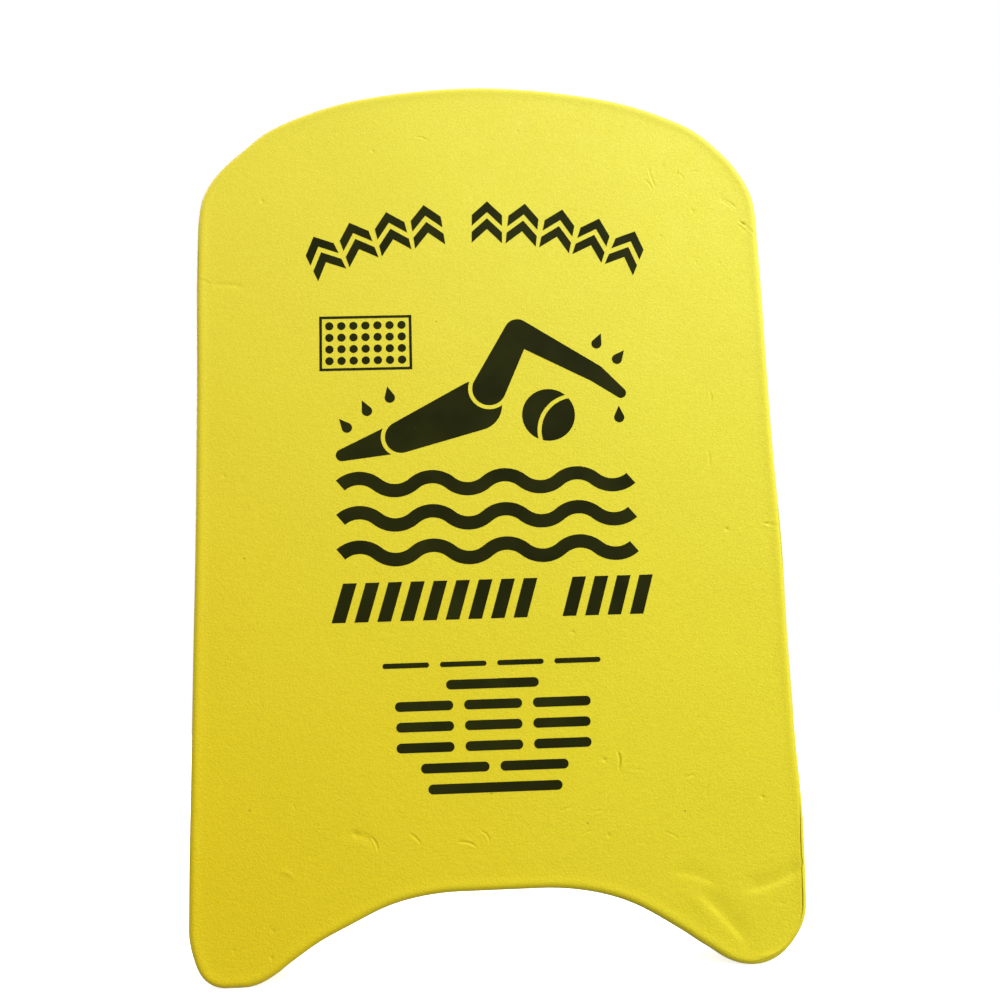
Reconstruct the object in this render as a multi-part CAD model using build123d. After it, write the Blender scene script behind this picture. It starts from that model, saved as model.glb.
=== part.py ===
from build123d import *

import math
import os

# Kickboard float, a laminated foam board for swimming practice.
# Millimetres.  The board stands on its two tail tips:
#   X runs across the board, Y runs from the printed face to the back, +Z points to the nose.
# The origin is the bottom centre of the board's box.  The printed face looks along -Y.

# ---- driving dimensions -------------------------------------------------------------------

width = 305.0              # across the straight sides
length = 468.0             # tail tips to the top of the nose
thickness = 32.0           # printed face to back face

nose_radius = 282.0        # wide arc across the nose
corner_radius = 65.0       # nose corners
tip_radius = 28.0          # the two rounded tail tips
notch_depth = 40.0         # tail tips up to the roof of the notch
notch_radius = 130.0       # the flanks of the notch

edge_round = 4.0           # rounding of the front and back edges
skin = 3.0                 # skin sheet, front and back
seam_inset = 2.2           # edge of the front sheet, in from the side of the board
seam_gap = 0.6             # width of the seam line
bead_drop = 1.6            # top of the seam bead, below the printed face

ink = 0.1                  # screen-printed ink film
print_shift = -1.0         # the whole print sits a little left of the centre line

front_y = -thickness / 2
back_y = thickness / 2
half_width = width / 2


# ---- the outline --------------------------------------------------------------------------

def board_outline(inset):
    """The outline of the board, every edge moved in by the same distance.

    It is straight sides and tangent arcs: the centres stay where they are for any inset.
    """
    corner_x = half_width - corner_radius
    corner_rise = math.sqrt((nose_radius - corner_radius) ** 2 - corner_x ** 2)
    nose_z = length - nose_radius
    corner_z = nose_z + corner_rise
    nose_half_angle = math.degrees(math.atan2(corner_x, corner_rise))

    tip_x = half_width - tip_radius
    notch_z = notch_depth - notch_radius
    flank_rise = tip_radius - notch_z
    flank_run = math.sqrt((notch_radius + tip_radius) ** 2 - flank_rise ** 2)
    roof_half = tip_x - flank_run
    flank_angle = math.degrees(math.atan2(flank_run, flank_rise))

    nose_arc = CenterArc((0, nose_z), nose_radius - inset, 90 - nose_half_angle, 2 * nose_half_angle)
    roof_z = notch_depth + inset
    edges = [nose_arc, Line((-roof_half, roof_z), (roof_half, roof_z))]
    for side in (1, -1):
        side_x = side * (half_width - inset)
        start = 0 if side > 0 else 180
        edges += [
            CenterArc((side * corner_x, corner_z), corner_radius - inset,
                      start, side * (90 - nose_half_angle)),
            Line((side_x, tip_radius), (side_x, corner_z)),
            CenterArc((side * tip_x, tip_radius), tip_radius - inset,
                      start, -side * (90 + flank_angle)),
            CenterArc((side * roof_half, notch_z), notch_radius + inset,
                      90, -side * flank_angle),
        ]
    return make_face(edges)


def slab(inset, front_depth, back_depth):
    """A slab with the board's outline, between two depths below the printed face."""
    plane = Plane.XZ.offset(-(front_y + front_depth))
    return extrude(plane * board_outline(inset), -(back_depth - front_depth))


def edges_at(solid, y):
    """The edges of a slab that lie in the plane of one of its faces."""
    return [edge for edge in solid.edges() if abs(edge.bounding_box().min.Y - y) < 0.01
            and abs(edge.bounding_box().max.Y - y) < 0.01]


# ---- the laminated board ------------------------------------------------------------------

def rounded_board():
    """The outside of the whole board, front and back edges rounded."""
    board = slab(0, 0, thickness)
    return fillet(edges_at(board, front_y) + edges_at(board, back_y), edge_round)


def foam_core():
    """The closed-cell foam slab inside, sharp at the front and rounded at the back."""
    core = slab(skin, skin, thickness - skin)
    return fillet(edges_at(core, back_y - skin), edge_round - skin)


def front_skin():
    """The printed sheet: it rolls over the front shoulder and ends at the seam."""
    return rounded_board() & slab(seam_inset, 0, skin)


def back_skin():
    """One sheet formed over the back and the sides, up to the seam on the front shoulder."""
    seat = slab(seam_inset - seam_gap, 0, skin)
    return rounded_board() - foam_core() - seat


def edge_seam():
    """The bead of fused foam in the seam between the two skins."""
    return slab(seam_inset - seam_gap, bead_drop, skin) - slab(seam_inset, bead_drop, skin)


# ---- the ink ------------------------------------------------------------------------------

def printed(shapes):
    """Lays flat shapes, drawn as X and Z, on the printed face as ink films."""
    plane = Plane.XZ.offset(-front_y)
    films = []
    for shape in shapes:
        placed = Pos(print_shift, 0) * shape
        films += extrude(plane * placed, ink).solids()
    return Compound(children=films)


def wave_band(wave_length, half_waves, swing, stroke):
    """A wavy ribbon of constant width, centred: arcs of one radius, bowed up and down in turn."""
    chord = wave_length / 2
    radius = chord / 2 / math.sin(math.radians(swing))
    drop = radius * math.cos(math.radians(swing))
    first_x = -chord * (half_waves - 1) / 2
    edges = []
    for i in range(half_waves):
        centre_x = first_x + i * chord
        bow = 1 if i % 2 == 0 else -1
        for rim in (stroke / 2, -stroke / 2):
            edges.append(CenterArc((centre_x, -bow * drop), radius + bow * rim,
                                   bow * 90 - swing, 2 * swing))
    end_x = chord * half_waves / 2
    lean = math.radians(swing)
    tip = Vector(stroke / 2 * math.sin(lean), stroke / 2 * math.cos(lean))
    left = Vector(-end_x, 0)
    right = Vector(end_x, 0)
    left_tip = Vector(-tip.X, tip.Y)
    right_tip = tip if half_waves % 2 == 1 else left_tip
    edges.append(Line(left + left_tip, left - left_tip))
    edges.append(Line(right + right_tip, right - right_tip))
    return make_face(edges)


def limb(start, start_radius, end, end_radius):
    """A tapered limb with round ends: two discs and the band that is tangent to both."""
    run = Vector(*end) - Vector(*start)
    lean = math.degrees(math.atan2(run.Y, run.X))
    spread = math.degrees(math.acos((start_radius - end_radius) / run.length))
    corners = []
    for centre, radius, turn in ((start, start_radius, 1), (end, end_radius, 1),
                                 (end, end_radius, -1), (start, start_radius, -1)):
        angle = math.radians(lean + turn * spread)
        corners.append((centre[0] + radius * math.cos(angle), centre[1] + radius * math.sin(angle)))
    band = make_face(Polyline(*corners, close=True))
    return band + Pos(*start) * Circle(start_radius) + Pos(*end) * Circle(end_radius)


def drop_mark(height, radius):
    """A water drop, point up."""
    centre_z = -height / 2 + radius
    half_angle = math.degrees(math.acos(radius / (height - radius)))
    lean = math.radians(half_angle)
    tip = (0, height / 2)
    flank_x = radius * math.sin(lean)
    flank_z = centre_z + radius * math.cos(lean)
    bowl = CenterArc((0, centre_z), radius, 90 + half_angle, 360 - 2 * half_angle)
    return make_face([bowl, Line((flank_x, flank_z), tip), Line(tip, (-flank_x, flank_z))])


def chevron(spread, rise, stroke):
    """A chevron, point up: two strokes that meet at the top."""
    top = rise / 2 + stroke / 2
    foot = -rise / 2 - stroke / 2
    return make_face(Polyline(
        (0, top), (spread / 2, foot + stroke), (spread / 2, foot), (0, top - stroke),
        (-spread / 2, foot), (-spread / 2, foot + stroke), close=True))


def title_print():
    """An arch of marks over the top of the face, in two groups; each is two chevrons, one over one."""
    arch_radius = 199.0
    arch_top = 388.0           # middle of the marks at the top of the arch
    arch_shift = -2.0
    spread = 16.5
    rise = 8.0
    stroke = 6.2
    chevron_pitch = 9.8
    pitch = 5.64               # degrees between neighbours
    group_gap = 3.8            # extra degrees between the two groups
    counts = (4, 5)
    angles = [i * pitch for i in range(counts[0])]
    angles += [angles[-1] + group_gap + (i + 1) * pitch for i in range(counts[1])]
    middle = angles[-1] / 2
    arch_centre = Pos(arch_shift, arch_top - arch_radius)
    shapes = []
    for angle in angles:
        for side in (1, -1):
            place = Pos(0, arch_radius + side * chevron_pitch / 2)
            shapes.append(arch_centre * Rot(0, 0, middle - angle) * place * chevron(spread, rise, stroke))
    return printed(shapes)


def panel_print():
    """A small framed panel with rows of round rope floats."""
    panel_width = 49.0
    panel_height = 30.0
    panel_x = -62.0
    panel_z = 321.0
    frame = 1.4
    columns = 7
    rows = 4
    pitch = 6.4
    dot_radius = 2.2
    border = Rectangle(panel_width, panel_height)
    border -= Rectangle(panel_width - 2 * frame, panel_height - 2 * frame)
    shapes = [Pos(panel_x, panel_z) * border]
    for column in range(columns):
        for row in range(rows):
            x = panel_x + (column - (columns - 1) / 2) * pitch
            z = panel_z + (row - (rows - 1) / 2) * pitch
            shapes.append(Pos(x, z) * Circle(dot_radius))
    return printed(shapes)


def swimmer():
    """A swimmer at the front crawl, drawn round the middle of the emblem.

    Thin unprinted lines part the arm from the body, the body from the legs and the cap
    from the face.
    """
    shoulder = (-4.0, 18.0)
    hip = (-44.0, 2.0)
    foot = (-75.0, -7.0)
    armpit = (3.0, 27.0)
    elbow = (19.0, 58.0)
    wrist = (60.0, 34.0)
    fingers = (73.0, 23.0)
    head = (34.0, 12.0)
    line = 2.2
    arm = limb(armpit, 9.0, elbow, 7.0) + limb(elbow, 7.0, wrist, 4.8) + limb(wrist, 4.8, fingers, 2.8)
    body = limb(shoulder, 13.5, hip, 8.5)
    legs = limb(hip, 8.5, foot, 3.2)
    round_arm = limb(armpit, 9.0 + line, elbow, 7.0 + line)
    round_body = limb(shoulder, 13.5 + line, hip, 8.5 + line)
    face = Pos(*head) * Circle(14.0)
    cap_line = Pos(head[0] + 14.0, head[1] - 9.0) * (Circle(18.0 + line) - Circle(18.0))
    return [arm, body - round_arm, legs - round_body, face - cap_line]


def emblem_print():
    """A swimmer over three waves, with drops of water off the hand and the feet."""
    middle = Pos(0, 267.5)
    shapes = [middle * shape for shape in swimmer()]
    for x, z, turn in ((73.0, 43.0, -40), (62.0, 52.0, -25), (71.5, 11.5, 0),
                       (-73.5, 9.0, 40), (-62.5, 18.0, 25), (-50.0, 25.0, 12)):
        shapes.append(middle * Pos(x, z) * Rot(0, 0, turn) * drop_mark(height=9.0, radius=2.7))
    wave_rows = 3
    first_wave_z = -23.0
    wave_pitch = 18.0
    for row in range(wave_rows):
        band = wave_band(wave_length=38.0, half_waves=8, swing=40.0, stroke=7.0)
        shapes.append(middle * Pos(0, first_wave_z - row * wave_pitch) * band)
    return printed(shapes)


def headline_print():
    """A bold line of slanted bars in a long and a short group."""
    bar_height = 20.0
    bar_width = 7.0
    slant = 6.0
    pitch = 11.6
    line_z = 183.5
    shapes = []
    for start_x, count in ((-81.0, 9), (37.0, 4)):
        for i in range(count):
            x = start_x + i * pitch
            low = line_z - bar_height / 2
            high = line_z + bar_height / 2
            shapes.append(make_face(Polyline(
                (x, low), (x + bar_width, low), (x + bar_width + slant, high), (x + slant, high),
                close=True)))
    return printed(shapes)


def notice_print():
    """Seven rows of plain rounded dashes, the first row thinner."""
    top_z = 151.0
    pitch = 10.2
    gap = 5.5
    rows = ((111.0, 4), (47.0, 1), (99.0, 3), (98.0, 3), (98.0, 3), (74.0, 2), (67.0, 1))
    shapes = []
    for row, (row_width, dashes) in enumerate(rows):
        dash_height = 2.6 if row == 0 else 4.8
        dash_width = (row_width - gap * (dashes - 1)) / dashes
        for i in range(dashes):
            x = (i - (dashes - 1) / 2) * (dash_width + gap)
            shapes.append(Pos(x, top_z - row * pitch) * SlotOverall(dash_width, dash_height))
    return printed(shapes)


# ---- write every piece --------------------------------------------------------------------

pieces = {
    "foam_core": foam_core(),
    "front_skin": front_skin(),
    "back_skin": back_skin(),
    "edge_seam": edge_seam(),
    "title_print": title_print(),
    "panel_print": panel_print(),
    "emblem_print": emblem_print(),
    "headline_print": headline_print(),
    "notice_print": notice_print(),
}

os.makedirs("parts", exist_ok=True)
for name, piece in pieces.items():
    export_step(piece, f"parts/{name}.step")
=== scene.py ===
import math

import bmesh
import bpy
import numpy as np
from mathutils import Matrix, Vector
from mathutils.bvhtree import BVHTree
from mathutils.geometry import delaunay_2d_cdt
from mathutils.kdtree import KDTree


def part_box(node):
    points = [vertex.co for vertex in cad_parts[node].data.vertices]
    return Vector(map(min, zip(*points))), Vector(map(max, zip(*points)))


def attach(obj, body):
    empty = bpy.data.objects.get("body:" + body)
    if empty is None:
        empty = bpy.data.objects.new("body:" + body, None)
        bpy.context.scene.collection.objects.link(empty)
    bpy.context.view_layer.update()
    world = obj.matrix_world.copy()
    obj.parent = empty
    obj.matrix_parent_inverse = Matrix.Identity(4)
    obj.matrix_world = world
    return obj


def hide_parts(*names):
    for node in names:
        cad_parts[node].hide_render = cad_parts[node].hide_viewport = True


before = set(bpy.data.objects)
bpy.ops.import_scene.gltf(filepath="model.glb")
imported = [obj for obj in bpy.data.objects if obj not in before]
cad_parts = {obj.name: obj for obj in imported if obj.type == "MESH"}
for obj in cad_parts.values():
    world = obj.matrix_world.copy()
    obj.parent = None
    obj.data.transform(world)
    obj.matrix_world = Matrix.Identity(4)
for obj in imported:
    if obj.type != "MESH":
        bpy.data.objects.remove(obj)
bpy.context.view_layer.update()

# A kickboard float: a foam core in a printed front sheet and a formed back shell.
# Metres.  The board stands on its two tail tips, printed face towards -Y, nose towards +Z.

MM = 0.001

# ---- sizes: the boxes come from the CAD, the outline's radii are the design's --------------

board_low, board_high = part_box("back_skin")
sheet_low, sheet_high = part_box("front_skin")
core_low, core_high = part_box("foam_core")
bead_low, bead_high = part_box("edge_seam")

half_width = board_high.x
length = board_high.z
front_y = sheet_low.y
back_y = board_high.y
thickness = back_y - front_y
skin = core_low.y - front_y
sheet_inset = half_width - sheet_high.x
lip_inset = half_width - bead_high.x
bead_depth = bead_low.y - front_y

nose_radius = 282 * MM
corner_radius = 65 * MM
tip_radius = 28 * MM
notch_depth = 40 * MM
notch_radius = 130 * MM
edge_round = 4 * MM         # how deep the rounded edge goes
edge_reach = 3.2 * MM       # how far in from the side the rounding begins

loop_step = 1.1 * MM        # between points round the edge
face_step = 1.6 * MM        # between points on the printed face
fine_split = 4              # the printed face's points are this much closer round a dent
back_step = 4.0 * MM        # between points on the back
ink_step = 1.8 * MM         # between points on the ink
rim_step = 1.0 * MM         # between points along the edge of the ink

# ---- the outline --------------------------------------------------------------------------


def arc(centre, radius, start, end, side=1):
    """Points and outward normals along an arc, in degrees; side is -1 where the edge is hollow."""
    sweep = math.radians(abs(end - start))
    count = max(2, math.ceil(radius * sweep / loop_step))
    angles = np.radians(start + (end - start) * np.arange(count) / count)
    spokes = np.stack([np.cos(angles), np.sin(angles)], axis=1)
    return np.array(centre) + radius * spokes, side * spokes


def straight(start, end, normal):
    """Points and outward normals along a straight edge."""
    start, end = np.array(start), np.array(end)
    count = max(2, math.ceil(np.linalg.norm(end - start) / loop_step))
    along = np.arange(count)[:, None] / count
    return start + (end - start) * along, np.tile(np.array(normal, float), (count, 1))


def outline():
    """The board's outline as points and outward normals, anticlockwise seen from the print."""
    corner_x = half_width - corner_radius
    corner_rise = math.sqrt((nose_radius - corner_radius) ** 2 - corner_x ** 2)
    nose_z = length - nose_radius
    corner_z = nose_z + corner_rise
    nose_half = math.degrees(math.atan2(corner_x, corner_rise))
    tip_x = half_width - tip_radius
    notch_z = notch_depth - notch_radius
    flank_rise = tip_radius - notch_z
    flank_run = math.sqrt((notch_radius + tip_radius) ** 2 - flank_rise ** 2)
    roof = tip_x - flank_run
    flank = math.degrees(math.atan2(flank_run, flank_rise))
    stretches = [
        arc((0, nose_z), nose_radius, 90 - nose_half, 90 + nose_half),
        arc((-corner_x, corner_z), corner_radius, 90 + nose_half, 180),
        straight((-half_width, corner_z), (-half_width, tip_radius), (-1, 0)),
        arc((-tip_x, tip_radius), tip_radius, 180, 270 + flank),
        arc((-roof, notch_z), notch_radius, 90 + flank, 90, side=-1),
        straight((-roof, notch_depth), (roof, notch_depth), (0, -1)),
        arc((roof, notch_z), notch_radius, 90, 90 - flank, side=-1),
        arc((tip_x, tip_radius), tip_radius, 270 - flank, 360),
        straight((half_width, tip_radius), (half_width, corner_z), (1, 0)),
        arc((corner_x, corner_z), corner_radius, 0, 90 - nose_half),
    ]
    places = np.concatenate([stretch[0] for stretch in stretches])
    normals = np.concatenate([stretch[1] for stretch in stretches])
    return places, normals


# the real outline is cut a little uneven: place, reach along the edge, and how far it stands out,
# all in millimetres
swells = [
    ((-82, 456), 40, 1.9), ((-130, 434), 15, -1.9), ((-149, 406), 13, 1.3), ((-152, 362), 40, 0.9),
    ((-152, 215), 50, -0.4), ((-152, 60), 30, 0.3), ((-141, 6), 11, 3.2), ((-110, 5), 11, -1.2),
    ((-74, 28), 16, 1.3), ((86, 20), 20, 1.9), ((99, 13), 8, 0.6), ((146, 11), 15, -1.4),
    ((152, 72), 30, 1.4), ((152, 130), 30, 0.4), ((152, 205), 38, 1.1), ((152, 345), 25, 0.3),
    ((151, 402), 11, 0.7), ((134, 431), 13, -0.8), ((88, 455), 36, 1.6), ((0, 468), 30, 0.2),
]


def swollen(places, normals):
    """The outline with its swells, each fading away along the edge; none goes below the floor."""
    rise = np.zeros(len(places))
    for middle, reach, height in swells:
        away = np.linalg.norm(places / MM - np.array(middle), axis=1) / reach
        rise += height * MM * np.exp(-away ** 2)
    swelled = places + normals * rise[:, None]
    swelled[:, 1] = np.maximum(swelled[:, 1], 0.0)
    return swelled


def tree_of(places):
    """A search tree of flat places, for finding the nearest one."""
    tree = KDTree(len(places))
    for number, place in enumerate(places):
        tree.insert((place[0], place[1], 0), number)
    tree.balance()
    return tree


edge, outward = outline()
edge = swollen(edge, outward)
edge_tree = tree_of(edge)


def inset_of(points):
    """How far each point lies inside the outline."""
    nearest = [edge_tree.find((x, z, 0))[1] for x, z in points]
    return np.einsum("ij,ij->i", edge[nearest] - points, outward[nearest])


# ---- the lie of the foam: gentle waves, folds, pressed lines and pits ------------------------
# Places are in millimetres across (from the centre line) and up (from the tail tips).

# a fold is a soft ridge (height over zero) or valley: from, to, bow, height, and its half width
# to the right and to the left of the way it runs
folds = [
    ((100.5, 34), (120.5, 11.5), 0.6, -0.66, 2.4, 6.0),
    ((122, 36), (150, 45.5), -1.6, -0.74, 2.0, 5.0),
    ((86, 46), (107, 39.5), 1.0, -0.34, 1.8, 4.5),
    ((92, 35), (103, 25), 1.0, 0.30, 4.0, 4.0),
    ((127, 4.5), (141, 10.5), -1.2, 0.28, 0.8, 0.8),
    ((-75, 70), (-60, 65), 1.0, -0.30, 2.0, 2.0),
    ((132, 400.5), (140.5, 394.5), -0.8, -0.16, 0.9, 1.8),
    ((-143, 355), (-128, 353.5), 0.5, -0.20, 1.2, 1.2),
    ((-108, 54), (-101, 50), 0.8, 0.20, 1.1, 1.1),
]

# a pressed line is a sharp narrow crease with a lip on each side: from, to, bow, half width, depth
pressed_lines = [
    ((142.8, 386), (151.5, 377), 0.2, 0.45, 0.38),
    ((141, 384), (149.5, 376.5), 0.2, 0.45, 0.08),
    ((136.5, 398), (141, 394), 0.3, 0.42, 0.12),
    ((144, 218.5), (152.5, 216), 0.4, 0.55, 0.35),
    ((117, 415), (122, 415), 0.5, 0.50, 0.10),
    ((108, 414), (113, 411), 1.4, 0.50, 0.11),
    ((110, 417), (106, 411), 1.0, 0.50, 0.12),
    ((94, 418), (97, 407), -0.6, 0.50, 0.15),
    ((91, 411), (95, 405), 0.8, 0.50, 0.12),
    ((120, 290), (120, 284), 0.5, 0.55, 0.18),
    ((117, 258), (117, 250), 0.4, 0.55, 0.16),
    ((-152, 358), (-146, 356), 0.2, 0.60, 0.35),
    ((-63, 68), (-60, 62), 0.6, 0.50, 0.25),
    ((-44, 69), (-39, 64), 0.5, 0.50, 0.22),
    ((-20, 64), (-12, 62), 0.8, 0.50, 0.25),
    ((-9, 69), (-5, 64), 1.0, 0.50, 0.20),
    ((61.3, 104.5), (61.2, 96.5), 0.7, 0.50, 0.48),
    ((67, 96), (74, 95), 0.4, 0.50, 0.08),
    ((95.5, 91), (99, 92), 0.2, 0.50, 0.22),
    ((104.5, 83.5), (106.3, 87), 0.2, 0.50, 0.26),
    ((41, 65), (46, 67), 0.4, 0.45, 0.14),
    ((83, 65), (89, 61.5), 0.5, 0.45, 0.14),
    ((47, 76), (52, 76.5), 0.2, 0.45, 0.15),
    ((32, 77), (36, 78.5), 0.3, 0.50, 0.18),
    ((138.5, 7), (141, 10.5), 0.2, 0.45, 0.30),
    ((-34, 438), (-28, 436), 0.5, 0.50, 0.18),
]

# pressed lines on the back
back_lines = [
    ((-60, 120), (-41, 131), 2.0, 0.9, 0.28), ((88, 330), (97, 318), -1.0, 0.8, 0.25),
    ((20, 240), (28, 262), 1.5, 0.9, 0.22), ((-120, 410), (-110, 398), 1.0, 0.8, 0.25),
]

# a pit is a pinhole or a fingernail dent: place, radius, depth
pits = [
    ((102, 419), 0.6, 0.20), ((117, 392.6), 0.6, 0.34), ((98, 378), 0.6, 0.18),
    ((130, 362), 0.6, 0.18), ((117, 363), 0.6, 0.16), ((124, 216), 0.9, 0.45),
    ((54.3, 101), 0.8, 0.50), ((133, 80), 0.9, 0.45), ((54.5, 64.5), 0.7, 0.35),
    ((139, 29), 0.6, 0.30), ((-101, 84), 0.6, 0.30), ((-111, 26), 0.6, 0.32),
    ((-130, 18), 0.6, 0.26), ((-112, 14), 0.6, 0.32), ((-71, 70), 1.2, 0.34),
    ((41, 165), 0.8, 0.35), ((-137, 251), 0.7, 0.30), ((-118, 402), 0.8, 0.35),
    ((-58, 430), 0.7, 0.30), ((22, 441), 0.7, 0.28),
]


def along_and_across(points, start, end, bow):
    """Each point's place along a bowed line, 0 to 1, its distance across, and the line's length."""
    start, end = np.array(start) * MM, np.array(end) * MM
    run = end - start
    size = np.linalg.norm(run)
    direction = run / size
    offset = points - start
    along = offset @ direction / size
    across = offset @ np.array([-direction[1], direction[0]])
    middle = np.clip(along, 0, 1)
    return along, across - bow * MM * 4 * middle * (1 - middle), size


def ends(along, size, width):
    """1 along a line, sinking towards its ends and fading to nothing past them."""
    at_end = 0.35
    run_in = 2.5 * width
    past = np.maximum(np.maximum(-along, along - 1), 0) * size
    middle = np.clip(np.minimum(along, 1 - along) * size / run_in, 0, 1)
    return np.exp(-(past / width) ** 2) * (at_end + (1 - at_end) * middle)


def fold_height(points, start, end, bow, height, right, left):
    """Height of one fold at each point."""
    along, across, size = along_and_across(points, start, end, bow)
    width = np.where(across > 0, left, right) * MM
    return height * MM * ends(along, size, right * MM) * np.exp(-(across / width) ** 2)


def pressed_height(points, start, end, bow, width, depth):
    """Height of one pressed line at each point: a groove between two low lips."""
    lip_height = 0.45           # against the groove's depth
    lip_place = 2.0             # half widths out from the groove's middle
    along, across, size = along_and_across(points, start, end, bow)
    reach = np.abs(across) / (width * MM)
    section = -np.exp(-reach ** 2) + lip_height * np.exp(-(reach - lip_place) ** 2)
    return depth * MM * ends(along, size, width * MM) * section


def pit_height(points, place, radius, depth):
    """Height of one pit at each point."""
    reach = np.linalg.norm(points - np.array(place) * MM, axis=1) / (radius * MM)
    return -depth * MM * np.exp(-reach ** 2)


def gentle_waves(points, height, seed):
    """Slow unevenness of a foam sheet, a few waves in scattered directions."""
    waves = (160, 110, 75, 52, 37, 26)      # lengths in mm, the longest one the highest
    rng = np.random.default_rng(seed)
    total = np.zeros(len(points))
    for wave in waves:
        heading = rng.uniform(0, 2 * math.pi)
        shift = rng.uniform(0, 2 * math.pi)
        direction = np.array([math.cos(heading), math.sin(heading)])
        total += wave / waves[0] * np.sin(points @ direction * 2 * math.pi / (wave * MM) + shift)
    return total * height * MM


def rim_roll(points):
    """The low roll that runs just inside the edge, where the sheet was pressed on."""
    peak, half_width_of_roll, height = 3.8 * MM, 2.1 * MM, 0.22 * MM
    return height * np.exp(-((inset_of(points) - peak) / half_width_of_roll) ** 2)


def face_relief(points):
    """Height of the printed face over its flat place."""
    total = gentle_waves(points, 0.11, seed=4) + rim_roll(points)
    for fold in folds:
        total += fold_height(points, *fold)
    for line in pressed_lines:
        total += pressed_height(points, *line)
    for pit in pits:
        total += pit_height(points, *pit)
    return total


def near_dent(points):
    """True where the printed face needs its points close together."""
    line_margin, pit_margin = 2.6, 2.2      # in half widths of a line, and in radii of a pit
    near = np.zeros(len(points), bool)
    lines = [(*fold[:3], fold[4]) for fold in folds] + [line[:4] for line in pressed_lines]
    for start, end, bow, width in lines:
        along, across, size = along_and_across(points, start, end, bow)
        reach = line_margin * width * MM
        near |= (np.abs(across) < reach) & (along * size > -reach) & ((along - 1) * size < reach)
    for place, radius, _ in pits:
        near |= np.linalg.norm(points - np.array(place) * MM, axis=1) < pit_margin * radius * MM
    return near


def back_relief(points):
    """Height of the back over its flat place."""
    total = gentle_waves(points, 0.13, seed=9)
    for line in back_lines:
        total += pressed_height(points, *line)
    return total


# ---- the seam: how far it stands open, and how far it sits back, round the edge --------------

def stretch_of(side, low, high, fade=8.0):
    """1 along a stretch of one side of the board, between two heights in mm, fading past its ends."""
    z = edge[:, 1] / MM
    well_out = 0.6 * half_width
    here = side * edge[:, 0] > well_out
    past = np.maximum(np.maximum(low - z, z - high), 0) / fade
    return here * np.exp(-past ** 2)


def near_place(place, reach):
    """1 on the edge beside a place, in mm, fading away from it."""
    return np.exp(-(np.linalg.norm(edge - np.array(place) * MM, axis=1) / (reach * MM)) ** 2)


lap = np.cumsum(np.linalg.norm(np.diff(edge, axis=0, prepend=edge[-1:]), axis=1))
turn_round = lap / lap[-1] * 2 * math.pi   # goes once round the board, in radians
ragged = 0.5 + 0.28 * np.sin(23 * turn_round + 1.1) + 0.22 * np.sin(57 * turn_round)
tip_step = near_place((134, 6), 15)        # the right tail tip, where the sheet has drawn back


def seam_openness():
    """How far the seam stands open round the edge, 0 to 1."""
    gaping = (stretch_of(1, 29, 67) + 0.5 * stretch_of(1, 199, 224, 4.0)
              + 0.8 * stretch_of(-1, 305, 372) + 0.3 * stretch_of(-1, 60, 110))
    return np.clip(gaping * (0.75 + 0.25 * ragged) + 0.15 * tip_step, 0.0, 1.0)


def seam_shape():
    """Inset of the front sheet's cut edge and of the shell's lip, round the edge."""
    closed, widest = 0.015 * MM, 0.5 * MM
    gap = closed + (widest - closed) * openness
    middle = (sheet_inset + lip_inset) / 2 - 0.7 * MM
    middle = middle + 0.10 * MM * np.sin(9 * turn_round + 0.4)
    # low on the right it wanders inwards, and along the underside it runs nearer to the side
    middle = middle + 1.0 * MM * stretch_of(1, 10, 90, 30.0) + 0.9 * MM * stretch_of(1, 25, 55, 14.0)
    facing_down = np.clip(-outward[:, 1], 0, 1)
    middle = middle - 0.7 * MM * facing_down * (1 - tip_step)
    # at the tip it steps in, but stays on the rounded edge
    middle = np.minimum(middle + 1.2 * MM * tip_step, edge_reach - 0.3 * MM)
    nick = near_place((152.5, 48), 1.6)
    middle = middle - 0.6 * MM * nick
    return middle + gap / 2, middle - gap / 2


openness = seam_openness()
sheet_edge, shell_lip = seam_shape()

# ---- mesh building ------------------------------------------------------------------------


def shoulder(turn):
    """Inset and depth on the rounded edge: turn is 0 where it leaves the face, 90 on the side."""
    angle = np.radians(turn)
    return edge_reach * (1 - np.sin(angle)), edge_round * (1 - np.cos(angle))


def turn_at(inset):
    """Where on the rounded edge a given inset lies, in degrees."""
    return np.degrees(np.arcsin(1 - inset / edge_reach))


def sway_at(inset):
    """The face's relief on a line at some inset, round the board."""
    return face_relief(edge - outward * np.broadcast_to(inset, len(edge))[:, None])


def ring(inset, depth, sway=0):
    """One ring of vertices round the board, at an inset and a depth below the printed face."""
    inset = np.broadcast_to(inset, len(edge))
    flat = edge - outward * inset[:, None]
    lift = np.broadcast_to(depth, len(edge)) - sway
    return np.stack([flat[:, 0], front_y + lift, flat[:, 1]], axis=1)


def join_rings(first, second, count):
    """Quads between two rings that start at these vertex numbers."""
    return [(first + i, first + (i + 1) % count, second + (i + 1) % count, second + i)
            for i in range(count)]


def fill_points(boundary, step, split=1):
    """A jittered grid of points inside a loop, closer together round the dents."""
    rng = np.random.default_rng(11)
    jitter = 0.12
    fine = step / split
    low, high = boundary.min(axis=0), boundary.max(axis=0)
    columns, rows = np.ceil((high - low) / fine).astype(int)
    i, j = np.meshgrid(np.arange(columns), np.arange(rows), indexing="ij")
    points = low + np.stack([i.ravel(), j.ravel()], axis=1) * fine
    coarse = (i.ravel() % split == 0) & (j.ravel() % split == 0)
    wanted = coarse if split == 1 else coarse | near_dent(points)
    points = points[wanted]
    points += rng.uniform(-jitter, jitter, points.shape) * fine
    return points


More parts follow.
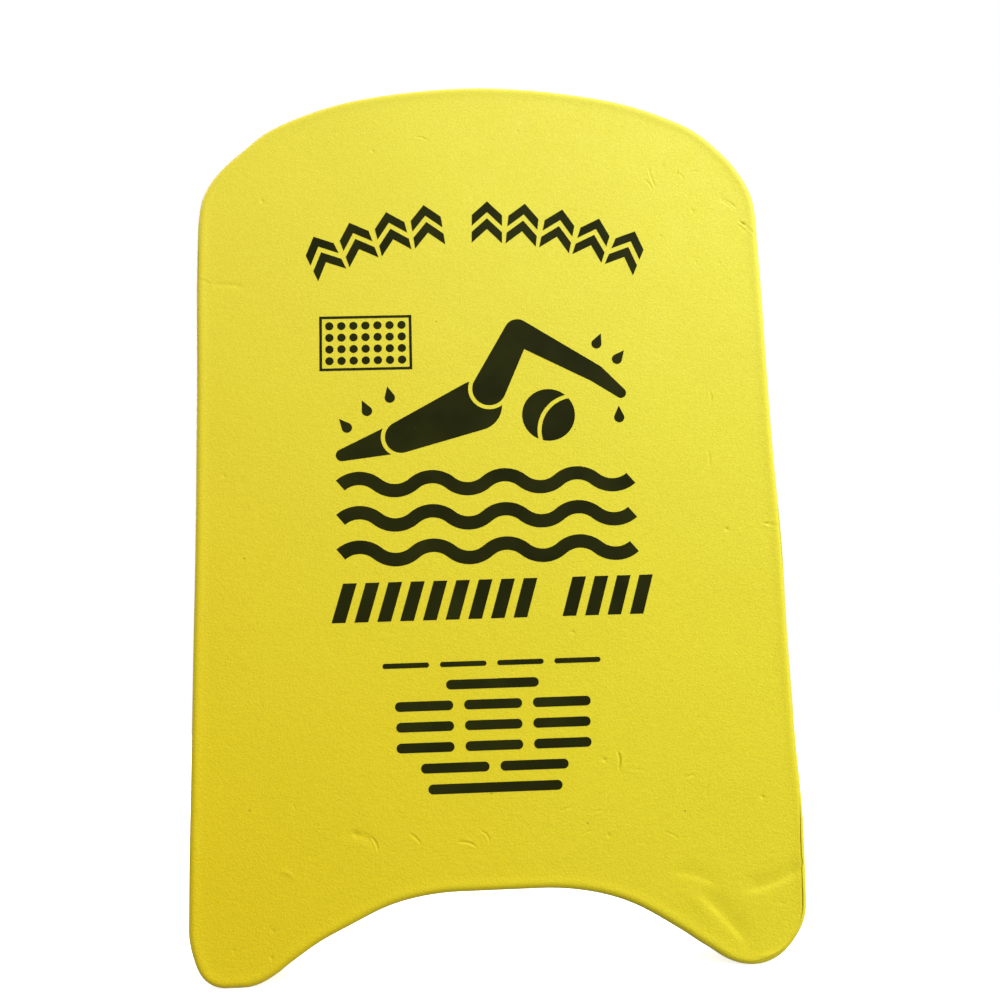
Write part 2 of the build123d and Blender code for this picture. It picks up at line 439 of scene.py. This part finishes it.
def filled_loop(boundary, margin, step, split=1):
    """Triangles that fill a loop.  Returns the points, the boundary's first, and the triangles."""
    inner = fill_points(boundary, step, split)
    inner = inner[inset_of(inner) > margin]
    points = np.concatenate([boundary, inner]) / MM
    count = len(boundary)
    loop = [(i, (i + 1) % count) for i in range(count)]
    only_inside, weld = 1, 1e-5
    made = delaunay_2d_cdt([Vector(p) for p in points], loop, [], only_inside, weld)
    verts, _, faces, origins = made[:4]
    own = {new: old[0] for new, old in enumerate(origins) if old}
    assert len(own) == len(verts), "the filling added points of its own"
    return points * MM, [tuple(own[v] for v in face) for face in faces]


def make_piece(name, verts, faces, material):
    """A smooth mesh object that rides on the board."""
    crease = math.radians(50)
    mesh = bpy.data.meshes.new(name)
    mesh.from_pydata([tuple(v) for v in verts], [], faces)
    mesh.validate()
    clean = bmesh.new()
    clean.from_mesh(mesh)
    bmesh.ops.recalc_face_normals(clean, faces=clean.faces)
    clean.to_mesh(mesh)
    clean.free()
    mesh.shade_smooth()
    mesh.set_sharp_from_angle(angle=crease)
    mesh.materials.append(material)
    piece = bpy.data.objects.new(name, mesh)
    bpy.context.scene.collection.objects.link(piece)
    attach(piece, "root")
    return piece


# ---- the pieces ---------------------------------------------------------------------------

def front_sheet(material):
    """The printed sheet: dented face, rounded rim, rolled lip at the seam, flat underside."""
    face_inset = edge_reach + 3 * MM
    clear = 0.9 * MM                            # from the loop to the first points inside it
    rim_rings = (2.4, 1.8, 1.2, 0.7, 0.3)       # mm between the loop and the rounded edge
    count = len(edge)
    loop = edge - outward * face_inset
    points, triangles = filled_loop(loop, face_inset + clear, face_step, fine_split)
    face = np.stack([points[:, 0], front_y - face_relief(points), points[:, 1]], axis=1)
    verts, faces = [face], list(triangles)
    previous = 0
    first = len(face)

    def add(inset, depth, sway=0):
        """Adds a ring and joins it to the one before."""
        nonlocal previous, first
        verts.append(ring(inset, depth, sway))
        faces.extend(join_rings(previous, first, count))
        previous = first
        first += count

    for past_rim in rim_rings:
        inset = edge_reach + past_rim * MM
        add(inset, 0, sway_at(inset))
    lip = (0.03 + 0.27 * openness + 0.3 * tip_step) * MM
    last_turn = turn_at(sheet_edge + lip)
    for part in (0.15, 0.35, 0.55, 0.75, 1.0):
        inset, depth = shoulder(last_turn * part)
        add(inset, depth, sway_at(inset))
    _, edge_depth = shoulder(last_turn)
    for across, down in ((0.55, 0.10), (0.2, 0.3), (0.0, 0.75)):
        add(sheet_edge + across * lip, edge_depth + down * lip, sway_at(sheet_edge))
    add(sheet_edge, skin)
    faces.append(tuple(range(previous, previous + count)))
    piece = make_piece("front_sheet", np.concatenate(verts), faces, material)
    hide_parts("front_skin")
    return piece


def side_sway():
    """Unevenness of the side wall round the edge."""
    return 0.12 * MM * np.sin(7 * turn_round) + 0.08 * MM * np.sin(17 * turn_round + 0.7)


def shell_rings():
    """Insets and depths of the shell's rings: lip, shoulder, side wall and rounded back edge."""
    count = len(edge)
    lip = (0.02 + 0.25 * openness) * MM
    sunk = 0.9 * MM * tip_step - sway_at(shell_lip)
    first_turn = turn_at(shell_lip - lip)
    _, lip_depth = shoulder(first_turn)
    lip_depth = lip_depth + sunk
    rings = [
        (np.full(count, skin), np.full(count, skin)),
        (shell_lip, np.full(count, skin)),
        (shell_lip, lip_depth + 0.6 * lip),
        (shell_lip - 0.2 * lip, lip_depth + 0.22 * lip),
        (shell_lip - 0.55 * lip, lip_depth + 0.02 * lip),
    ]
    for part in (0, 0.2, 0.4, 0.6, 0.8, 1.0):
        inset, depth = shoulder(first_turn + (90 - first_turn) * part)
        depth = depth + (1 - part) * sunk
        rings.append((inset, depth))
    wall = thickness - 2 * edge_round
    for part in (0.15, 0.35, 0.5, 0.65, 0.85):
        rings.append((-side_sway() * math.sin(math.pi * part), edge_round + wall * part))
    for turn in (90, 75, 60, 45, 30, 15, 4):
        inset, depth = shoulder(turn)
        rings.append((inset, thickness - depth))
    return rings


def back_shell(material):
    """The sheet formed over the back and sides, with a rounded lip at the seam."""
    count = len(edge)
    verts, faces = [], []
    rings = shell_rings()
    for number, (inset, depth) in enumerate(rings):
        verts.append(ring(inset, depth))
        if number:
            faces.extend(join_rings((number - 1) * count, number * count, count))
    last = (len(rings) - 1) * count
    face_inset = edge_round + 1.5 * MM
    clear = 1.5 * MM                            # from the loop to the first points inside it
    loop = edge - outward * face_inset
    points, triangles = filled_loop(loop, face_inset + clear, back_step)
    start = len(rings) * count
    back = np.stack([points[:, 0], back_y + back_relief(points), points[:, 1]], axis=1)
    verts.append(back)
    faces.extend(tuple(start + v for v in triangle) for triangle in triangles)
    faces.extend(join_rings(last, start, count))
    # the inside of the tray, which the core fills
    hidden = start + len(back)
    verts.append(ring(skin, thickness - edge_round))
    verts.append(ring(edge_round, thickness - skin))
    faces.extend(join_rings(0, hidden, count))
    faces.extend(join_rings(hidden, hidden + count, count))
    faces.append(tuple(range(hidden + count, hidden + 2 * count)))
    piece = make_piece("back_shell", np.concatenate(verts), faces, material)
    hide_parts("back_skin")
    return piece


def seam_bead(material):
    """The uneven bead of fused foam at the bottom of the seam."""
    count = len(edge)
    step = np.arange(count)
    lump = 0.12 * MM * np.sin(step * 0.9) * np.sin(step * 0.23 + 1) + 0.05 * MM * np.sin(step * 2.1)
    crown = 0.25 * MM
    middle = (sheet_edge + shell_lip) / 2
    rings = [
        (sheet_edge, np.full(count, skin)),
        (sheet_edge, bead_depth + crown + lump),
        (middle, bead_depth + lump),
        (shell_lip, bead_depth + crown + lump),
        (shell_lip, np.full(count, skin)),
    ]
    verts = np.concatenate([ring(inset, depth) for inset, depth in rings])
    faces = []
    for number in range(len(rings)):
        faces.extend(join_rings(number * count, (number + 1) % len(rings) * count, count))
    piece = make_piece("seam_bead", verts, faces, material)
    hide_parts("edge_seam")
    return piece


def print_outline(cad):
    """Points along the outline of a print's front face, and the pairs of them that are joined."""
    points, pairs = [], []
    for rim in cad.edges:
        in_front = [face for face in rim.link_faces if face.normal.y < -0.5]
        if len(in_front) != 1:
            continue
        start, end = (np.array((vert.co.x, vert.co.z)) for vert in rim.verts)
        count = max(1, math.ceil(np.linalg.norm(end - start) / rim_step))
        for i in range(count):
            pairs.append((len(points) + i, len(points) + i + 1))
        points.extend(start + (end - start) * i / count for i in range(count + 1))
    return np.array(points), pairs


def points_inside(points, covers, rim):
    """The points of a grid that a print covers, apart from those close to its edge."""
    tree = tree_of(rim)
    margin = 0.6 * ink_step
    return [place for place in points
            if covers(place) and tree.find((place[0], place[1], 0))[2] > margin]


def filled_print(rim, pairs, covers):
    """Points and triangles that fill a print, with close points along its edge."""
    grid = fill_points(rim, ink_step)
    inner = points_inside(grid, covers, rim)
    flat = [Vector(place) / MM for place in list(rim) + inner]
    everything, weld = 0, 1e-4
    made = delaunay_2d_cdt(flat, pairs, [], everything, weld)
    places = np.array([tuple(v) for v in made[0]]) * MM
    return places, [face for face in made[2] if covers(places[list(face)].mean(axis=0))]


def open_sides(triangles):
    """The sides of triangles that no other triangle shares, in the way they run."""
    sides = {}
    for triangle in triangles:
        for i in range(3):
            sides[triangle[i], triangle[(i + 1) % 3]] = True
    return [(a, b) for a, b in sides if (b, a) not in sides]


def ink_film(node, material):
    """A print's film: the CAD print's outline, filled with points that follow the foam under it."""
    cad = bmesh.new()
    cad.from_mesh(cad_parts[node].data)
    touching = 0.002 * MM
    bmesh.ops.remove_doubles(cad, verts=cad.verts, dist=touching)
    tree = BVHTree.FromBMesh(cad)
    film_low, film_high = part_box(node)
    film = film_high.y - film_low.y

    def covers(place):
        """Whether the print lies behind a place, seen from the front."""
        in_front = Vector((place[0], film_low.y - skin, place[1]))
        return tree.ray_cast(in_front, Vector((0, 1, 0)))[0]

    rim, pairs = print_outline(cad)
    cad.free()
    places, triangles = filled_print(rim, pairs, covers)
    count = len(places)
    surface = front_y - face_relief(places)
    top = np.stack([places[:, 0], surface - film, places[:, 1]], axis=1)
    bottom = np.stack([places[:, 0], surface + film / 2, places[:, 1]], axis=1)
    faces = list(triangles)
    faces += [tuple(v + count for v in reversed(triangle)) for triangle in triangles]
    faces += [(b, a, a + count, b + count) for a, b in open_sides(triangles)]
    piece = make_piece(node.replace("print", "ink"), np.concatenate([top, bottom]), faces,
                       material)
    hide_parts(node)
    return piece


# ---- materials ----------------------------------------------------------------------------

class Recipe:
    """A material with a Principled shader, and short ways to add its nodes."""

    def __init__(self, name, roughness, specular):
        self.material = bpy.data.materials.new(name)
        self.material.use_nodes = True
        self.nodes = self.material.node_tree.nodes
        self.links = self.material.node_tree.links
        self.shader = self.nodes["Principled BSDF"]
        self.shader.inputs["Roughness"].default_value = roughness
        self.shader.inputs["Specular IOR Level"].default_value = specular
        self.place = self.nodes.new("ShaderNodeTexCoord").outputs["Object"]

    def link(self, source, socket):
        """Feeds one node's output to another's input."""
        self.links.new(source, socket)

    def stretched(self, scale):
        """The place on the board, scaled along each axis."""
        node = self.nodes.new("ShaderNodeMapping")
        node.inputs["Scale"].default_value = scale
        self.link(self.place, node.inputs["Vector"])
        return node.outputs["Vector"]

    def noise(self, per_metre, detail=2.0, roughness=0.5, place=None):
        """Soft noise with this many lumps to a metre."""
        node = self.nodes.new("ShaderNodeTexNoise")
        node.inputs["Scale"].default_value = per_metre
        node.inputs["Detail"].default_value = detail
        node.inputs["Roughness"].default_value = roughness
        self.link(place or self.place, node.inputs["Vector"])
        return node.outputs["Fac"]

    def along(self, direction, low, high):
        """Runs from 0 to 1 along a direction on the board, between two distances in its units."""
        node = self.nodes.new("ShaderNodeVectorMath")
        node.operation = "DOT_PRODUCT"
        node.inputs[1].default_value = direction
        self.link(self.place, node.inputs[0])
        return self.ramp(node.outputs["Value"], low, high)

    def cells(self, per_metre):
        """Distance from the middle of the nearest cell, in cell widths."""
        node = self.nodes.new("ShaderNodeTexVoronoi")
        node.inputs["Scale"].default_value = per_metre
        self.link(self.place, node.inputs["Vector"])
        return node.outputs["Distance"]

    def ramp(self, source, low, high, from_value=0.0, to_value=1.0):
        """Turns the range low to high into another range, and stops at its ends."""
        node = self.nodes.new("ShaderNodeMapRange")
        node.inputs["From Min"].default_value = low
        node.inputs["From Max"].default_value = high
        node.inputs["To Min"].default_value = from_value
        node.inputs["To Max"].default_value = to_value
        self.link(source, node.inputs["Value"])
        return node.outputs["Result"]

    def sum(self, first, second, weight):
        """The first value plus a share of the second."""
        node = self.nodes.new("ShaderNodeMath")
        node.operation = "MULTIPLY_ADD"
        node.inputs[1].default_value = weight
        self.link(second, node.inputs[0])
        self.link(first, node.inputs[2])
        return node.outputs[0]

    def blend(self, share, first, second):
        """Mixes two colours; each is a colour or the output of another blend."""
        node = self.nodes.new("ShaderNodeMix")
        node.data_type = "RGBA"
        self.link(share, node.inputs["Factor"])
        for value, socket in ((first, node.inputs[6]), (second, node.inputs[7])):
            if isinstance(value, tuple):
                socket.default_value = (*value, 1)
            else:
                self.link(value, socket)
        return node.outputs[2]

    def bump(self, height, distance, strength=None):
        """Roughens the surface; the distance is how far a height of 1 stands out."""
        node = self.nodes.new("ShaderNodeBump")
        node.inputs["Distance"].default_value = distance
        if strength:
            self.link(strength, node.inputs["Strength"])
        self.link(height, node.inputs["Height"])
        self.link(node.outputs["Normal"], self.shader.inputs["Normal"])


def foam_grain(recipe):
    """The pebbled skin of closed-cell foam: fine grain, a faint drag one way, sparse pinholes."""
    pebbles = recipe.noise(1150, detail=2, roughness=0.6)
    drag = recipe.noise(480, detail=2, place=recipe.stretched((0.45, 1, 1.2)))
    dimples = recipe.noise(150, detail=1)
    grain = recipe.sum(recipe.sum(pebbles, drag, 0.36), dimples, 0.33)
    holes = recipe.ramp(recipe.cells(42), 0.018, 0.030)
    return recipe.sum(grain, holes, 0.8), holes


def foam_skin_material():
    """Lemon foam, a deeper gold towards one lower corner as painted shade, lemon towards the upper
    right as painted light, and paler towards the top as painted sheen.
    """
    recipe = Recipe("foam_skin", roughness=0.5, specular=0.22)
    recipe.shader.inputs["Sheen Weight"].default_value = 0.18
    recipe.shader.inputs["Sheen Roughness"].default_value = 0.35
    height, holes = foam_grain(recipe)
    recipe.bump(height, 0.26 * MM, recipe.along((0, 0, 1), 1.125, 0.0))
    # gold and lemon are one yellow painted as its shaded and its lit side
    gold = (0.603, 0.456, 0.002)
    lemon = (0.612, 0.576, 0.016)
    # pale is a painted sheen, whiter than the foam
    pale = (0.600, 0.530, 0.085)
    # painted light and shade: gold at the lower left, lemon towards the lamp at the upper right, with
    # random clouds of tone
    painted_light_gradient = recipe.along((1.5, 0, 1.0), -0.17, 0.58)
    cloudy = recipe.sum(painted_light_gradient, recipe.noise(9, detail=2), 0.24)
    body = recipe.blend(recipe.ramp(cloudy, 0.12, 1.12), gold, lemon)
    # paler towards the top: painted sheen
    body = recipe.blend(recipe.along((0, 0, 1), 0.12, 1.25), body, pale)
    mottle = recipe.ramp(recipe.noise(1100, detail=2, roughness=0.7), 0.34, 0.68, 0.0, 0.40)
    freckle = (0.46, 0.37, 0.004)
    body = recipe.blend(mottle, body, freckle)
    # pinholes painted darker: painted shade in the holes
    pinhole = (0.25, 0.19, 0.01)
    shade = recipe.ramp(holes, 0.0, 1.0, 0.5, 0.0)
    body = recipe.blend(shade, body, pinhole)
    recipe.link(body, recipe.shader.inputs["Base Color"])
    dull = recipe.ramp(recipe.noise(70, detail=3), 0.3, 0.7, 0.38, 0.50)
    recipe.link(dull, recipe.shader.inputs["Roughness"])
    return recipe.material


def core_material():
    """Cut closed-cell foam, pale, with the cells just visible and their hollows painted darker as
    shade.
    """
    recipe = Recipe("foam_core", roughness=0.8, specular=0.3)
    cells = recipe.cells(900)
    recipe.bump(cells, 0.2 * MM)
    # hollow is the wall colour painted darker: painted shade in the cells
    hollow, wall = (0.62, 0.58, 0.42), (0.80, 0.77, 0.62)
    body = recipe.blend(recipe.ramp(cells, 0.1, 0.6), hollow, wall)
    recipe.link(body, recipe.shader.inputs["Base Color"])
    return recipe.material


def seam_material():
    """Fused foam at the bottom of the seam, a little grimy, and painted dark as the shade in the
    groove.
    """
    recipe = Recipe("seam", roughness=0.75, specular=0.25)
    grime = recipe.noise(190, detail=3)
    recipe.bump(grime, 0.2 * MM)
    # both colours are painted dark as the shade in the groove; the darker one adds grime
    grime_and_groove_shade, clean = (0.16, 0.11, 0.012), (0.32, 0.25, 0.02)
    body = recipe.blend(recipe.ramp(grime, 0.4, 0.65), grime_and_groove_shade, clean)
    recipe.link(body, recipe.shader.inputs["Base Color"])
    return recipe.material


def ink_material():
    """Near-black ink that takes on the grain of the foam, with a few pinpricks of yellow."""
    recipe = Recipe("print_ink", roughness=0.5, specular=0.03)
    height, _ = foam_grain(recipe)
    recipe.bump(height, 0.10 * MM)
    cloudy = recipe.ramp(recipe.noise(45, detail=2), 0.35, 0.65)
    thick, thin = (0.0105, 0.0118, 0.0010), (0.0165, 0.0178, 0.0020)
    body = recipe.blend(cloudy, thick, thin)
    bare_foam = (0.20, 0.16, 0.01)
    pinprick = recipe.ramp(recipe.cells(150), 0.012, 0.030, 0.7, 0.0)
    body = recipe.blend(pinprick, body, bare_foam)
    recipe.link(body, recipe.shader.inputs["Base Color"])
    return recipe.material


# ---- floor, light and camera --------------------------------------------------------------

def floor():
    """A plain pale disc, faintly lit from within so that it stays white beside the board."""
    radius, sides = 1.5, 96
    spokes = [2 * math.pi * i / sides for i in range(sides)]
    rim = [(radius * math.cos(angle), radius * math.sin(angle), 0) for angle in spokes]
    mesh = bpy.data.meshes.new("floor")
    mesh.from_pydata(rim, [], [tuple(range(sides))])
    disc = bpy.data.objects.new("floor", mesh)
    disc.visible_diffuse = False
    disc.visible_glossy = False
    bpy.context.scene.collection.objects.link(disc)
    material = bpy.data.materials.new("floor")
    material.use_nodes = True
    shader = material.node_tree.nodes["Principled BSDF"]
    shader.inputs["Base Color"].default_value = (0.9, 0.9, 0.9, 1)
    shader.inputs["Roughness"].default_value = 0.9
    shader.inputs["Emission Color"].default_value = (1, 1, 1, 1)
    shader.inputs["Emission Strength"].default_value = 0.7
    mesh.materials.append(material)


def area_light(name, place, aim, size, power, colour):
    """A round soft light at a place, aimed at a point of the board; size in metres, power in watts."""
    data = bpy.data.lights.new(name, "AREA")
    data.shape = "DISK"
    data.size = size
    data.energy = power
    data.color = colour
    light = bpy.data.objects.new(name, data)
    light.location = place
    light.rotation_euler = (Vector(aim) - Vector(place)).to_track_quat("-Z", "Y").to_euler()
    light.visible_camera = False
    bpy.context.scene.collection.objects.link(light)


def sky():
    """A white surround that gives more light from the upper right front than from elsewhere."""
    world = bpy.data.worlds.new("studio")
    world.use_nodes = True
    nodes, links = world.node_tree.nodes, world.node_tree.links
    facing = nodes.new("ShaderNodeVectorMath")
    facing.operation = "DOT_PRODUCT"
    brightest = Vector((0.62, -0.45, 0.64)).normalized()
    facing.inputs[1].default_value = brightest
    links.new(nodes.new("ShaderNodeTexCoord").outputs["Generated"], facing.inputs[0])
    glow = nodes.new("ShaderNodeMapRange")
    glow.interpolation_type = "SMOOTHSTEP"
    for name, value in (("From Min", -0.3), ("From Max", 1.0), ("To Min", 0.25), ("To Max", 1.75)):
        glow.inputs[name].default_value = value
    links.new(facing.outputs["Value"], glow.inputs["Value"])
    behind = nodes.new("ShaderNodeMix")
    behind.inputs["B"].default_value = 1.0
    links.new(nodes.new("ShaderNodeLightPath").outputs["Is Camera Ray"], behind.inputs["Factor"])
    links.new(glow.outputs["Result"], behind.inputs["A"])
    links.new(behind.outputs["Result"], nodes["Background"].inputs["Strength"])
    nodes["Background"].inputs["Color"].default_value = (1, 1, 1, 1)
    return world


def studio():
    """The surround and four soft lights: one key, one in front, one on the left edge, one behind."""
    scene = bpy.context.scene
    scene.view_settings.view_transform = "Standard"
    scene.world = sky()
    upper_right = (0.06, 0, 0.32)
    area_light("key", (0.80, -0.42, 1.10), upper_right, 0.35, 7.7, (1.0, 1.0, 0.97))
    area_light("softbox", (0.36, -1.10, 1.05), upper_right, 0.6, 5.8, (0.90, 0.97, 1.0))
    left_edge = (-0.15, 0, 0.40)
    area_light("edge", (-0.75, 0.05, 0.95), left_edge, 0.3, 3.2, (1.0, 0.76, 0.56))
    middle = (0, 0, length / 2)
    area_light("fill", (-1.2, 1.6, 1.1), middle, 1.4, 17.0, (1.0, 1.0, 1.0))


def camera():
    """In front of the board, a little below its middle, looking slightly up."""
    yaw = math.radians(2.15)
    pitch = math.radians(8.34)
    roll = math.radians(-1.86)
    data = bpy.data.cameras.new("camera")
    data.sensor_width = 36
    data.lens = 34.2
    eye = bpy.data.objects.new("camera", data)
    ahead = math.cos(pitch)
    looking = Vector((math.sin(yaw) * ahead, math.cos(yaw) * ahead, math.sin(pitch)))
    turn = looking.to_track_quat("-Z", "Y").to_matrix().to_4x4()
    distance = 0.493
    rim_y = front_y + 2.9 * MM                  # where the rounded edge is widest to the eye
    across, height = -0.0126, 0.1627
    eye.matrix_world = (Matrix.Translation((across, rim_y - distance, height))
                        @ turn @ Matrix.Rotation(roll, 4, "Z"))
    bpy.context.scene.collection.objects.link(eye)
    bpy.context.scene.camera = eye


# ---- put it together ----------------------------------------------------------------------

foam_skin = foam_skin_material()
ink = ink_material()
front_sheet(foam_skin)
back_shell(foam_skin)
seam_bead(seam_material())
for print_node in ("title_print", "panel_print", "emblem_print", "headline_print", "notice_print"):
    ink_film(print_node, ink)
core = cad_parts["foam_core"]
core.data.materials.clear()
core.data.materials.append(core_material())

floor()
studio()
camera()
